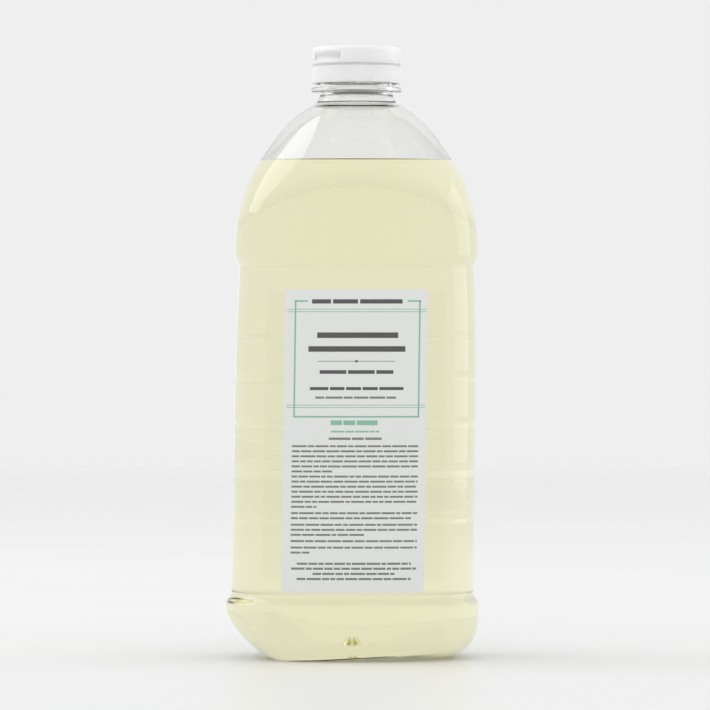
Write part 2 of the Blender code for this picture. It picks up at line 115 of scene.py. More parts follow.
def superellipse(left, right, depth, power, angles: np.ndarray) -> np.ndarray:
    """Distances from the middle to level outlines that can be wider on one side.

    Args:
        left: half-widths towards -X, one for each outline.
        right: half-widths towards +X.
        depth: half-depths.
        power: 2 for an ellipse, and more for a squarer outline.
        angles: directions to measure in.

    Returns:
        One row for each outline, one column for each angle.
    """
    across, along = np.cos(angles)[None, :], np.sin(angles)[None, :]
    half = np.where(across >= 0, np.asarray(right)[:, None], np.asarray(left)[:, None])
    power = np.asarray(power)[:, None]
    terms = np.abs(across / half) ** power + np.abs(along / np.asarray(depth)[:, None]) ** power
    return terms ** (-1 / power)


def grid_from(radius: np.ndarray, height, middle, angles: np.ndarray) -> np.ndarray:
    """Points of rings about vertical axes, as an array of rings, points and coordinates.

    Args:
        radius: one row for each ring, one column for each angle.
        height: heights, as one number for each ring or one for each point.
        middle: where each ring's axis is along X.
        angles: directions of the points.

    Returns:
        The points.
    """
    height = np.broadcast_to(np.asarray(height, float).reshape(len(radius), -1), radius.shape)
    middle = np.broadcast_to(np.asarray(middle, float).reshape(-1, 1), radius.shape)
    return np.stack([middle + radius * np.cos(angles), radius * np.sin(angles), height], axis=-1)


def normals_of(grid: np.ndarray) -> np.ndarray:
    """Outward unit normals at each point of a grid of rings."""
    round_step = np.roll(grid, -1, axis=1) - np.roll(grid, 1, axis=1)
    normals = np.cross(round_step, np.gradient(grid, axis=0))
    return normals / np.linalg.norm(normals, axis=-1, keepdims=True)


def mesh_from_grid(name: str, grid: np.ndarray, start, end) -> bpy.types.Mesh:
    """Join rings into one closed mesh, with a point that closes it at each end.

    Args:
        name: the mesh's name.
        grid: rings of points, in order along the surface, in millimetres.
        start: the point that closes the first ring.
        end: the point that closes the last ring.

    Returns:
        The mesh, whose first faces are the rows of quads in ring order.
    """
    rows, count = grid.shape[:2]
    index = np.arange(rows * count).reshape(rows, count)
    low, high = index[:-1], index[1:]
    quads = np.stack([low, np.roll(low, -1, 1), np.roll(high, -1, 1), high], axis=-1)
    first, last = rows * count, rows * count + 1
    faces = quads.reshape(-1, 4).tolist()
    for i in range(count):
        j = (i + 1) % count
        faces.append((first, int(index[0, j]), int(index[0, i])))
        faces.append((last, int(index[-1, i]), int(index[-1, j])))
    points = np.concatenate([grid.reshape(-1, 3), [start, end]]) * MM
    mesh = bpy.data.meshes.new(name)
    mesh.from_pydata(points.tolist(), [], faces)
    return mesh


def turned_grid(profile: list[tuple[float, float]], middle: float, segments: int) -> np.ndarray:
    """Rings of a profile of (radius, height) points turned about a vertical axis."""
    angles = np.arange(segments) * TAU / segments
    radius = np.repeat([[r] for r, _ in profile], segments, axis=1)
    return grid_from(radius, [z for _, z in profile], middle, angles)


def rounded(profile: list[tuple[float, float, float]], steps: int = 5) -> list[tuple[float, float]]:
    """Round the corners of a profile.

    Args:
        profile: (radius, height, rounding) at each corner.
        steps: straight pieces in each rounding.

    Returns:
        The (radius, height) points of the rounded profile.
    """
    made = []
    for i, (r, z, rounding) in enumerate(profile):
        here = np.array([r, z], float)
        if not rounding or i in (0, len(profile) - 1):
            made.append((r, z))
            continue
        before = np.array(profile[i - 1][:2]) - here
        after = np.array(profile[i + 1][:2]) - here
        entry = here + before / np.linalg.norm(before) * rounding
        leave = here + after / np.linalg.norm(after) * rounding
        for t in np.linspace(0, 1, steps + 1):
            made.append(tuple((1 - t) ** 2 * entry + 2 * t * (1 - t) * here + t * t * leave))
    return made


def add_piece(name: str, mesh: bpy.types.Mesh, *materials, sharp: float = 40) -> bpy.types.Object:
    """Link an object that shows mesh with these materials, smooth but for its sharp edges.

    Args:
        name: the piece's name.
        mesh: its mesh.
        materials: what fills its material slots, in order.
        sharp: angle in degrees over which an edge stays sharp.

    Returns:
        The object.
    """
    mesh.materials.clear()
    for material in materials:
        mesh.materials.append(material)
    mesh.shade_smooth()
    mesh.set_sharp_from_angle(angle=math.radians(sharp))
    obj = bpy.data.objects.new(name, mesh)
    bpy.context.scene.collection.objects.link(obj)
    LOG.info("%s: %d faces", name, len(mesh.polygons))
    return obj


def bake(obj: bpy.types.Object) -> bpy.types.Object:
    """Put what obj's modifiers make into its own mesh, and take the modifiers off."""
    graph = bpy.context.evaluated_depsgraph_get()
    obj.data = bpy.data.meshes.new_from_object(obj.evaluated_get(graph))
    obj.modifiers.clear()
    return obj


class Join(Enum):
    """How a second shape changes the first."""

    ADD = "UNION"
    CUT = "DIFFERENCE"
    KEEP = "INTERSECT"


def carve(obj: bpy.types.Object, steps: list[tuple[Join, bpy.types.Object]]) -> bpy.types.Object:
    """Add other shapes to obj or cut them from it, and delete those shapes.

    Args:
        obj: what changes.
        steps: the shapes, in order, each with how it's used.

    Returns:
        obj, with its new mesh.
    """
    for how, other in steps:
        modifier = obj.modifiers.new(other.name, "BOOLEAN")
        modifier.operation, modifier.object, modifier.solver = how.value, other, "EXACT"
    bake(obj)
    for _, other in steps:
        bpy.data.objects.remove(other)
    return obj


# --------------------------------------------------------------------------- finishes


def add_node(tree: bpy.types.NodeTree, kind: str, inputs: dict | None = None, **settings):
    """Add a node to a tree, with its settings, and give its inputs their values or links.

    Args:
        tree: where the node goes.
        kind: the node's type.
        inputs: for each input's name or number, a value, or the output socket to link to it.
        settings: the node's own properties.

    Returns:
        The node.
    """
    node = tree.nodes.new(kind)
    for name, value in settings.items():
        setattr(node, name, value)
    for key, value in (inputs or {}).items():
        if isinstance(value, bpy.types.NodeSocket):
            tree.links.new(value, node.inputs[key])
        else:
            node.inputs[key].default_value = value
    return node


def new_material(name: str) -> tuple[bpy.types.Material, bpy.types.NodeTree, bpy.types.Node]:
    """Make a material, and give it with its node tree and its Principled shader."""
    material = bpy.data.materials.new(name)
    material.use_nodes = True
    return material, material.node_tree, material.node_tree.nodes["Principled BSDF"]


def set_inputs(shader: bpy.types.Node, **values) -> None:
    """Set a shader's own sockets, whose names are written with _ for a space."""
    for name, value in values.items():
        shader.inputs[name.replace("_", " ")].default_value = value


def noise_of(tree: bpy.types.NodeTree, size: float, detail: float = 3, stretch=(1, 1, 1)):
    """Add a noise whose blotches are about size millimetres across, in the object's own coordinates.

    Args:
        tree: where its nodes go.
        size: how wide a blotch is, in millimetres.
        detail: how many finer layers it has.
        stretch: how much closer the pattern is along each axis.

    Returns:
        The noise's factor socket.
    """
    place = add_node(tree, "ShaderNodeTexCoord").outputs["Object"]
    mapped = add_node(tree, "ShaderNodeMapping", {"Vector": place, "Scale": stretch})
    noise = add_node(
        tree, "ShaderNodeTexNoise", {"Vector": mapped.outputs[0], "Scale": 1 / (size * MM), "Detail": detail}
    )
    return noise.outputs["Fac"]


def add_bump(tree: bpy.types.NodeTree, shader: bpy.types.Node, height, depth: float) -> None:
    """Make a pattern stand out from the surface by up to depth millimetres."""
    bump = add_node(tree, "ShaderNodeBump", {"Height": height, "Distance": depth * MM, "Strength": 1.0})
    tree.links.new(bump.outputs["Normal"], shader.inputs["Normal"])


def spread(tree: bpy.types.NodeTree, factor, low: float, high: float):
    """Map a factor around its middle to the range from low to high, and give the result's socket."""
    node = add_node(tree, "ShaderNodeMapRange", {0: factor, 1: 0.3, 2: 0.7, 3: low, 4: high})
    return node.outputs[0]


@dataclass(frozen=True)
class ClearPet:
    """Blown PET: as clear as glass, with sharp reflections that the wall's faint waviness bends."""

    name: str
    ior: float
    wave: float = 0.05
    wave_size: float = 24

    def material(self) -> bpy.types.Material:
        """Build the material."""
        material, tree, shader = new_material(self.name)
        set_inputs(shader, Base_Color=srgb("#FDFDFC"), Roughness=0.0, IOR=self.ior, Transmission_Weight=1.0)
        add_bump(tree, shader, noise_of(tree, self.wave_size, 1), self.wave)
        return material


@dataclass(frozen=True)
class ClearSoap:
    """Clear liquid soap: it bends light at its free surface, and takes more blue the deeper light goes."""

    name: str = "clear_liquid_soap"
    ior: float = 1.36
    tint: str = "#F6F3CB"  # what is left of white light after DEPTH of soap
    depth: float = 100

    def material(self) -> bpy.types.Material:
        """Build the material, whose faces marked free_surface bend light and whose others touch the wall."""
        material, tree, shader = new_material(self.name)
        set_inputs(shader, Base_Color=srgb("#FFFFFF"), Roughness=0.0, Transmission_Weight=1.0)
        free = add_node(tree, "ShaderNodeAttribute", attribute_name="free_surface").outputs["Fac"]
        ior = add_node(tree, "ShaderNodeMapRange", {0: free, 1: 0.0, 2: 1.0, 3: 1.0, 4: self.ior})
        tree.links.new(ior.outputs[0], shader.inputs["IOR"])
        losses = [-math.log(v) / (self.depth * MM) for v in srgb(self.tint)[:3]]
        most = max(losses)
        kept = (*(1 - loss / most for loss in losses), 1.0)
        volume = add_node(tree, "ShaderNodeVolumeAbsorption", {"Color": kept, "Density": most})
        tree.links.new(volume.outputs[0], tree.nodes["Material Output"].inputs["Volume"])
        return material


@dataclass(frozen=True)
class MilkyPlastic:
    """Unpigmented polypropylene: light goes a little way in, so its edges are soft and its gloss is satin."""

    name: str
    color: str = "#FDFDFB"
    roughness: float = 0.3

    def material(self) -> bpy.types.Material:
        """Build the material."""
        material, tree, shader = new_material(self.name)
        set_inputs(shader, Base_Color=srgb(self.color), IOR=1.49, Subsurface_Weight=1.0, Subsurface_Scale=2 * MM)
        set_inputs(shader, Subsurface_Radius=(1.0, 1.0, 0.95))
        grain = noise_of(tree, 0.8)
        gloss = spread(tree, grain, self.roughness - 0.05, self.roughness + 0.05)
        tree.links.new(gloss, shader.inputs["Roughness"])
        add_bump(tree, shader, grain, 0.006)
        return material


@dataclass(frozen=True)
class Coated:
    """A dull coloured surface, whose tone and gloss vary a little over it."""

    name: str
    color: str
    shade: str
    roughness: float
    size: float = 2
    bump: float = 0.003

    def material(self) -> bpy.types.Material:
        """Build the material."""
        material, tree, shader = new_material(self.name)
        set_inputs(shader, IOR=1.5)
        pattern = noise_of(tree, self.size)
        mix = add_node(
            tree,
            "ShaderNodeMix",
            {"Factor": spread(tree, pattern, 0, 1), "A": srgb(self.color), "B": srgb(self.shade)},
            data_type="RGBA",
        )
        tree.links.new(mix.outputs["Result"], shader.inputs["Base Color"])
        gloss = spread(tree, pattern, self.roughness - 0.04, self.roughness + 0.04)
        tree.links.new(gloss, shader.inputs["Roughness"])
        add_bump(tree, shader, pattern, self.bump)
        return material


# --------------------------------------------------------------------------- bottle and soap


@dataclass(frozen=True)
class BodyForm:
    """Outer form of the blown body, from its foot up to the top of its dome."""

    lip_bottom: float = 22.5
    lip_top: float = 25.5
    flare_top: float = 31
    panel_top: float = 184.5
    step_top: float = 189.5
    shoulder: float = 196
    dome_top: float = 261.6
    lip: tuple[float, float] = (59.9, 47.6)  # half-width and half-depth
    panel: tuple[float, float] = (57.1, 45.2)
    shoulder_depth: float = 47.2
    taper: float = 1.7
    taper_start: float = 120
    power: float = 3
    lean: tuple[float, float, float] = (20, 170, 2.1)  # start height, end height, and how far over
    foot: tuple[float, float, float] = (38, 38, 40)  # left, right and depth
    heel_powers: tuple[float, float] = (1.3, 2.6)  # how fully the left and right round under, 1 being a slope
    crease: tuple[float, float] = (7.5, 4.5)  # height of the heel's crease at the front, and its rise at the sides
    crease_share: float = 0.86  # how much of the way out to the lip the heel has gone at its crease
    foot_ring: float = 4
    front_lift: float = 2.6  # how far the foot's front edge rises from its left corner to its right
    push_up: float = 4.5
    dimple: tuple[float, float] = (9, 6.5)  # radius and height
    ribs: tuple[tuple[float, float, float], ...] = (
        (66.6, 1.3, 0.25),
        (89, 3, 0.4),
        (111.2, 3, 0.4),
        (132.8, 3, 0.4),
        (152.8, 1.3, 0.25),
    )
    dome: tuple[tuple[float, float], ...] = (
        (196, 57.5),
        (210, 55.8),
        (226, 50.6),
        (243, 40),
        (255, 29.8),
        (261.6, 20.4),
    )
    dome_depth_ratio: float = 0.91
    dome_edge: float = 4  # width of the soft edge where the flat front and back cut the dome
    cut_half_width: float = 61
    wall: float = 0.6
    seam: tuple[float, float] = (0.3, 0.07)  # half-width and height of the line that the mould leaves
    seam_fade: tuple[float, float] = (225, 245)  # heights where the seam starts to fade and is gone

    def middle(self, z: np.ndarray) -> np.ndarray:
        """Where the body's middle is along X at heights z."""
        start, end, over = self.lean
        return over * np.clip((np.asarray(z, float) - start) / (end - start), 0, 1)

    def panel_half_width(self, z: np.ndarray) -> np.ndarray:
        """Half-width of the label panel, which narrows towards its top."""
        height = self.panel_top - self.taper_start
        rise = np.clip((np.minimum(z, self.panel_top) - self.taper_start) / height, 0, 1)
        return self.panel[0] - self.taper * rise**2

    def rib_inset(self, z: np.ndarray) -> np.ndarray:
        """How far the ribs step in.

        Args:
            z: heights, one for each ring.

        Returns:
            The inset at each height.
        """
        inset = np.zeros_like(z)
        for middle, half, depth in self.ribs:
            reach = np.clip(np.abs(z - middle) / half, 0, 1)
            inset += depth * (0.5 + 0.5 * np.cos(np.pi * reach))
        return inset

    def dome_width(self, z: np.ndarray) -> np.ndarray:
        """Half-width of the dome, along a smooth curve through its known points.

        Args:
            z: heights, one for each ring.

        Returns:
            The half-width at each height.
        """
        heights, widths = np.array(self.dome).T
        ends = np.clip(np.arange(len(heights)) + 1, 0, len(heights) - 1)
        starts = np.clip(np.arange(len(heights)) - 1, 0, len(heights) - 1)
        slopes = (widths[ends] - widths[starts]) / (heights[ends] - heights[starts])
        z = np.clip(z, heights[0], heights[-1])
        i = np.clip(np.searchsorted(heights, z, side="right") - 1, 0, len(heights) - 2)
        span = heights[i + 1] - heights[i]
        t = (z - heights[i]) / span
        return (
            (2 * t**3 - 3 * t**2 + 1) * widths[i]
            + (t**3 - 2 * t**2 + t) * span * slopes[i]
            + (3 * t**2 - 2 * t**3) * widths[i + 1]
            + (t**3 - t**2) * span * slopes[i + 1]
        )

    def radius(self, z: np.ndarray, angles: np.ndarray) -> np.ndarray:
        """Distances from the middle to the body's outer face.

        Args:
            z: heights, one for each ring.
            angles: directions.

        Returns:
            One row for each height, one column for each angle.
        """
        flare = share_of(z, self.lip_top, self.flare_top)
        inset = self.rib_inset(z)
        width = self.lip[0] + (self.panel_half_width(z) - self.lip[0]) * flare - inset
        depth = self.lip[1] + (self.panel[1] - self.lip[1]) * flare - inset
        power = np.full_like(z, self.power)
        side = superellipse(width, width, depth, power, angles)
        foot = superellipse([self.foot[0]], [self.foot[1]], [self.foot[2]], [self.power], angles)
        lower = foot + (side - foot) * self.heel_share(z, angles)
        step = share_of(z, self.panel_top, self.step_top)[:, None]
        across = np.minimum(np.abs(np.cos(angles)) * lower / self.seam[0], 1)
        seam = self.seam[1] * (1 - across**2) ** 2 * (1 - share_of(z, *self.seam_fade))[:, None]
        return lower + (self.upper_radius(z, angles) - lower) * step + seam

    def heel_share(self, z: np.ndarray, angles: np.ndarray) -> np.ndarray:
        """How much of the way from the foot out to the lip the heel has gone.

        Args:
            z: heights, one for each ring.
            angles: directions.

        Returns:
            The share, creased at the front and back and plain at the sides.
        """
        rise = np.clip(z / self.lip_bottom, 0, 1)[:, None]
        crease = (self.crease[0] + self.crease[1] * np.abs(np.cos(angles)) ** 4) / self.lip_bottom
        over = np.clip((rise - crease) / (1 - crease), 0, 1)
        below = self.crease_share * np.minimum(rise / crease, 1)
        creased = below + (1 - self.crease_share) * (1 - (1 - over) ** 2)
        power = np.where(np.cos(angles) < 0, *self.heel_powers)
        plain = (1 - (1 - rise) ** power) ** (1 / power)
        return creased + (plain - creased) * share_of(np.abs(np.cos(angles)), 0.3, 0.95)

    def upper_radius(self, z: np.ndarray, angles: np.ndarray) -> np.ndarray:
        """Distances from the middle to the dome, which is cut flat at the front and the back.

        Args:
            z: heights, one for each ring.
            angles: directions.

        Returns:
            One row for each height, one column for each angle.
        """
        z = np.maximum(z, self.shoulder)
        share = (z - self.shoulder) / (self.dome_top - self.shoulder)
        width = self.dome_width(z)
        ratio = self.dome_depth_ratio + (1 - self.dome_depth_ratio) * share_of(share, 0.4, 1)
        power = self.power + (2 - self.power) * share_of(share, 0, 1)
        dome = superellipse(width, width, width * ratio, power, angles)
        half = [self.cut_half_width]
        cut = superellipse(half, half, [self.shoulder_depth], [self.power], angles)
        near = np.clip(1 - np.abs(dome - cut) / self.dome_edge, 0, 1)
        return np.minimum(dome, cut) - near**2 * self.dome_edge / 4

    def lifted(self, grid: np.ndarray) -> np.ndarray:
        """Lift the front of a grid's base towards its right, by less the further up it goes.

        Args:
            grid: rings of points, which are moved in place.

        Returns:
            The same grid.
        """
        across, forward = grid[..., 0] / self.foot[1], -grid[..., 1] / self.foot[2]
        lift = self.front_lift * share_of(across, -0.9, 0.9) * share_of(forward, 0.1, 0.9)
        grid[..., 2] += lift * np.clip(1 - grid[..., 2] / self.lip_bottom, 0, 1) ** 2
        return grid

    def heights(self) -> np.ndarray:
        """Heights of the rings from the foot to the top of the dome, closer where the wall turns most."""
        return np.concatenate(
            [
                self.lip_bottom * np.linspace(0, 1, 56) ** 2,
                np.linspace(self.lip_bottom, self.flare_top, 14)[1:],
                np.linspace(self.flare_top, self.panel_top, 150)[1:],
                np.linspace(self.panel_top, self.shoulder, 20)[1:],
                np.linspace(self.shoulder, self.dome_top, 64)[1:],
            ]
        )

    def underside(self, angles: np.ndarray) -> np.ndarray:
        """Rings of the base's hollow.

        Args:
            angles: directions of each ring's points.

        Returns:
            The rings, from beside the dimple's middle out to the foot.
        """
        radius, height = self.dimple
        foot = superellipse([self.foot[0]], [self.foot[1]], [self.foot[2]], [self.power], angles)[0]
        inner = np.linspace(0.06, 1, 16)[:, None] * radius * np.ones_like(angles)
        top = self.push_up + height * (1 - (inner / radius) ** 2) ** 2
        share = np.linspace(0, 1, 26)[1:, None]
        outer = radius + (foot - self.foot_ring - radius) * share
        slope = self.push_up * (1 - share**2.2) * np.ones_like(angles)
        ring = foot - self.foot_ring * (1 - np.linspace(0, 1, 7)[1:-1, None])
        rows = np.concatenate([inner, outer, ring])
        return grid_from(rows, np.concatenate([top, slope, 0 * ring]), 0, angles)

    def outer_grid(self, angles: np.ndarray) -> np.ndarray:
        """Rings of the whole outer face, from the middle of the underside to the top of the dome."""
        heights = self.heights()
        wall = grid_from(self.radius(heights, angles), heights, self.middle(heights), angles)
        return self.lifted(np.concatenate([self.underside(angles), wall]))

    def inner_grid(self, angles: np.ndarray, gap: float = 0) -> np.ndarray:
        """Rings of the inner face: the outer face moved in by the wall's thickness and a gap."""
        outer = self.outer_grid(angles)
        return outer - normals_of(outer) * (self.wall + gap)

    def front(self, x: np.ndarray, z: float | np.ndarray) -> np.ndarray:
        """Places along Y of the panel's front face, with its ribs bridged, at x from the body's middle."""
        width = self.panel[0] + 0 * z
        return -self.panel[1] * (1 - np.abs(x / width) ** self.power) ** (1 / self.power)


def ring_at(grid: np.ndarray, heights: np.ndarray) -> np.ndarray:
    """The ring where a grid of rings, each higher than the one before, passes the given heights.

    Args:
        grid: the rings.
        heights: one height for each column.

    Returns:
        The ring's points.
    """
    columns = []
    for i, height in enumerate(heights):
        column = grid[:, i]
        columns.append([np.interp(height, column[:, 2], column[:, k]) for k in range(3)])
    ring = np.array(columns)
    ring[:, 2] = heights
    return ring


@dataclass(frozen=True)
class Thread:
    """A right-hand thread that stands out from a round wall, or into it."""

    start: float
    start_angle: float
    turns: float
    height: float = 1.2
    pitch: float = THREAD_PITCH
    root: float = 2.0
    crest: float = 1.1
    fade: float = math.radians(24)

    def relief(self, z: np.ndarray, angles: np.ndarray) -> np.ndarray:
        """How far the thread stands out at heights z, one row each, and angles, one column each."""
        most = np.zeros((len(z), len(angles)))
        sweep = self.turns * TAU
        for turn in range(3):
            along = (angles - self.start_angle) % TAU + TAU * turn
            middle = self.start + self.pitch * along / TAU
            off = np.abs(z[:, None] - middle[None, :])
            profile = 1 - share_of(off, self.crest / 2, self.root / 2)
            ends = share_of(np.minimum(along, sweep - along), 0, self.fade)
            most = np.maximum(most, self.height * profile * ends)
        return most


@dataclass(frozen=True)
class Neck:
    """The neck over the dome: flared foot, waist, support ring, thread, rim and bore."""

    x: float = 2.1
    radius: float = 17.4
    bore: float = 15.8
    ring: float = 21.3
    ring_bottom: float = 267.3
    ring_top: float = 269.3
    rim: float = 277.2
    dome_top: float = 261.6
    thread: Thread = field(default_factory=lambda: Thread(THREAD_START, 0.0, 1.15))

    def outside(self, angles: np.ndarray) -> np.ndarray:
        """Rings from the dome's top up to the rim's outer edge."""
        below = rounded(
            [
                (20.1, self.dome_top + 0.1, 0),
                (18.9, self.dome_top + 0.5, 0.35),
                (18.3, self.dome_top + 1.9, 0.5),
                (17.4, self.dome_top + 3.8, 0.5),
                (16.8, self.ring_bottom, 0.35),
                (self.ring, self.ring_bottom, 0.4),
                (self.ring, self.ring_top, 0.4),
                (self.radius, self.ring_top, 0.35),
                (self.radius, self.ring_top + 0.6, 0),
            ],
            4,
        )
        lower = grid_from(np.array([[r] * len(angles) for r, _ in below]), [z for _, z in below], self.x, angles)
        heights = np.arange(self.ring_top + 0.75, self.rim - 0.4, 0.22)
        threaded = grid_from(self.radius + self.thread.relief(heights, angles), heights, self.x, angles)
        return np.concatenate([lower, threaded])

    def inside(self, angles: np.ndarray) -> np.ndarray:
        """Rings from the rim's outer edge over it and down the bore."""
        profile = rounded(
            [
                (self.radius, self.rim - 0.35, 0),
                (self.radius, self.rim, 0.3),
                (self.bore, self.rim, 0.3),
                (self.bore, self.ring_bottom + 0.8, 0.5),
                (self.bore - 0.2, self.ring_bottom - 0.3, 0.4),
                (self.bore + 0.9, self.dome_top + 3.9, 0.5),
                (self.bore + 1.8, self.dome_top + 2, 0.5),
                (self.bore + 2.4, self.dome_top + 0.75, 0.3),
                (self.bore + 3.9, self.dome_top - 0.25, 0),
            ]
        )
        return grid_from(np.array([[r] * len(angles) for r, _ in profile]), [z for _, z in profile], self.x, angles)


@dataclass(frozen=True)
class Filling:
    """How far the soap reaches up the bottle, and how it climbs the wall a little."""

    level: float = 233.0
    climb: float = 1.4
    reach: float = 1.7
    gap: float = 0.02
    over_base: float = 40  # a height over every ring of the base

    def wetted(self, inner: np.ndarray) -> tuple[np.ndarray, np.ndarray]:
        """Find where the soap's surface meets a grid of the bottle's inner face.

        Args:
            inner: rings of the inner face, from the middle of the base upwards.

        Returns:
            The rings under the surface, and the ring where the two meet.
        """
        contact = self.level + self.climb
        base = np.argmax(inner[:, 0, 2] > self.over_base)
        line = ring_at(inner[base:], np.full(inner.shape[1], contact))
        return inner[inner[..., 2].max(axis=1) < contact], line


@dataclass(frozen=True)
class Bottle:
    """The blown bottle and the soap in it."""

    form: BodyForm = field(default_factory=BodyForm)
    neck: Neck = field(default_factory=Neck)
    filling: Filling = field(default_factory=Filling)
    segments: int = 168

    def angles(self) -> np.ndarray:
        """Directions of each ring's points, closer together at the front and back where the mould's seam is."""
        even = (np.arange(self.segments) + 0.5) * TAU / self.segments
        near = np.array([-0.0052, -0.0031, -0.0016, 0, 0.0016, 0.0031, 0.0052])
        return np.sort(np.concatenate([even, near + TAU / 4, near + 3 * TAU / 4]))

    def shell(self) -> bpy.types.Object:
        """Build the bottle's wall, with one finish where it meets air and one where it meets soap."""
        angles = self.angles()
        outer = self.form.outer_grid(angles)
        inner = self.form.inner_grid(angles)
        inner = inner[inner[:, 0, 2] < self.neck.dome_top - 0.6]
        wet, line = self.filling.wetted(inner)
        dry = inner[inner[..., 2].min(axis=1) > line[0, 2]]
        neck = [self.neck.outside(angles), self.neck.inside(angles)]
        grid = np.concatenate([outer, *neck, dry[::-1], line[None], wet[::-1]])
        top = self.form.push_up + self.form.dimple[1]
        mesh = mesh_from_grid("bottle_shell", grid, (0, 0, top), (0, 0, top + self.form.wall))
        dry_pet, wet_pet = ClearPet("clear_pet", 1.575), ClearPet("clear_pet_wet", 1.158)
        piece = add_piece("bottle_shell", mesh, dry_pet.material(), wet_pet.material())
        wet_from = (len(grid) - len(wet) - 1) * len(angles)
        slots = np.zeros(len(mesh.polygons), np.int32)
        slots[wet_from : (len(grid) - 1) * len(angles)] = 1
        slots[(len(grid) - 1) * len(angles) + 1 :: 2] = 1
        mesh.polygons.foreach_set("material_index", slots)
        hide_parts("bottle")
        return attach(piece, "bottle")

    def soap(self) -> bpy.types.Object:
        """Build the soap: it fills the wall's inner face, and its surface climbs a little where it meets it."""
        angles = self.angles()
        inner = self.form.inner_grid(angles, self.filling.gap)
        wall, line = self.filling.wetted(inner)
        middle = np.array([self.form.middle(self.filling.level), 0.0])
        spoke = line[:, :2] - middle
        length = np.linalg.norm(spoke, axis=1)
        surface = []
        for inset in (0.12, 0.3, 0.55, 0.9, 1.3, 1.9, 2.7, 4, 6, 9, 14, 20, 28, 36):
            share = np.maximum(1 - inset / length, 0.04)
            height = self.filling.level + self.filling.climb * math.exp(-inset / self.filling.reach)
            places = middle + spoke * share[:, None]
            surface.append(np.column_stack([places, np.full(len(angles), height)]))
        grid = np.concatenate([wall, line[None], np.array(surface)])
        top = self.form.push_up + self.form.dimple[1] + self.form.wall + self.filling.gap
        mesh = mesh_from_grid("soap", grid, (0, 0, top), (*middle, self.filling.level))
        piece = add_piece("soap", mesh, ClearSoap().material())
        free = np.zeros(len(mesh.polygons), np.float32)
        free[len(wall) * len(angles) : (len(grid) - 1) * len(angles)] = 1
        free[(len(grid) - 1) * len(angles) + 1 :: 2] = 1
        mesh.attributes.new("free_surface", "FLOAT", "FACE").data.foreach_set("value", free)
        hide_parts("liquid_soap")
        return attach(piece, "bottle")


# --------------------------------------------------------------------------- label


class Ink(Enum):
    """What the label is printed with: a colour, and the shade that its thin places take."""

    GREEN = ("#7DB79A", "#93C4AB")
    DARK = ("#77796F", "#8A8C84")
    BLACK = ("#4C4D4A", "#5C5D5A")

    def material(self) -> bpy.types.Material:
        """Build the ink's material."""
        color, shade = self.value
        return Coated(f"ink_{self.name.lower()}", color, shade, 0.45, size=0.6, bump=0.001).material()


@dataclass(frozen=True)
class Bar:
    """A plain printed bar on the label: its middle from the label's own middle, and its size."""

    x: float
    z: float
    width: float
    height: float


@dataclass(frozen=True)
class TextBlock:
    """Lines of plain bars that stand for text."""

    top: float
    lines: int
    pitch: float
    height: float
    left: float = -29
    right: float = 29.6
    last: float = 1.0  # how much of the last line is filled
    word: float = 4.4
    seed: int = 1

    def bars(self) -> list[Bar]:
        """Lay out the bars of every line, with gaps of a space between them."""
        pick = np.random.default_rng(self.seed)
        made = []
        for line in range(self.lines):
            end = self.right if line < self.lines - 1 else self.left + (self.right - self.left) * self.last
            x = self.left
            while x < end - 0.8:
                width = min(self.word * pick.uniform(0.45, 1.6), end - x)
                made.append(Bar(x + width / 2, self.top - line * self.pitch, width, self.height))
                x += width + 0.25 * self.word**0.5
        return made


def bar_tree() -> bpy.types.NodeTree:
    """Build the node tree that puts a printed bar at each point, as wide and high as the point says."""
    tree = bpy.data.node_groups.new("bars_at_points", "GeometryNodeTree")
    for name, kind in (("Points", "Geometry"), ("Columns", "Int"), ("Thickness", "Float"), ("Ink", "Material")):
        tree.interface.new_socket(name, in_out="INPUT", socket_type=f"NodeSocket{kind}")
    tree.interface.new_socket("Bars", in_out="OUTPUT", socket_type="NodeSocketGeometry")
    given = add_node(tree, "NodeGroupInput").outputs
    size = add_node(tree, "ShaderNodeCombineXYZ", {"X": 1.0, "Y": given["Thickness"], "Z": 1.0})
    bar = add_node(tree, "GeometryNodeMeshCube", {"Size": size.outputs[0], "Vertices X": given["Columns"]})
    scale = add_node(tree, "GeometryNodeInputNamedAttribute", {"Name": "bar_size"}, data_type="FLOAT_VECTOR")
    placed = add_node(
        tree,
        "GeometryNodeInstanceOnPoints",
        {"Points": given["Points"], "Instance": bar.outputs["Mesh"], "Scale": scale.outputs["Attribute"]},
    )
    real = add_node(tree, "GeometryNodeRealizeInstances", {"Geometry": placed.outputs[0]})
    dressed = add_node(tree, "GeometryNodeSetMaterial", {"Geometry": real.outputs[0], "Material": given["Ink"]})
    add_node(tree, "NodeGroupOutput", {"Bars": dressed.outputs[0]})
    return tree


def add_nodes_modifier(obj: bpy.types.Object, tree: bpy.types.NodeTree, **inputs) -> None:
    """Give obj a Geometry Nodes modifier, and set its named inputs, written with _ for a space."""
    modifier = obj.modifiers.new(tree.name, "NODES")
    modifier.node_group = tree
    for item in tree.interface.items_tree:
        key = item.name.replace(" ", "_")
        if item.in_out == "INPUT" and key in inputs:
            modifier[item.identifier] = inputs[key]


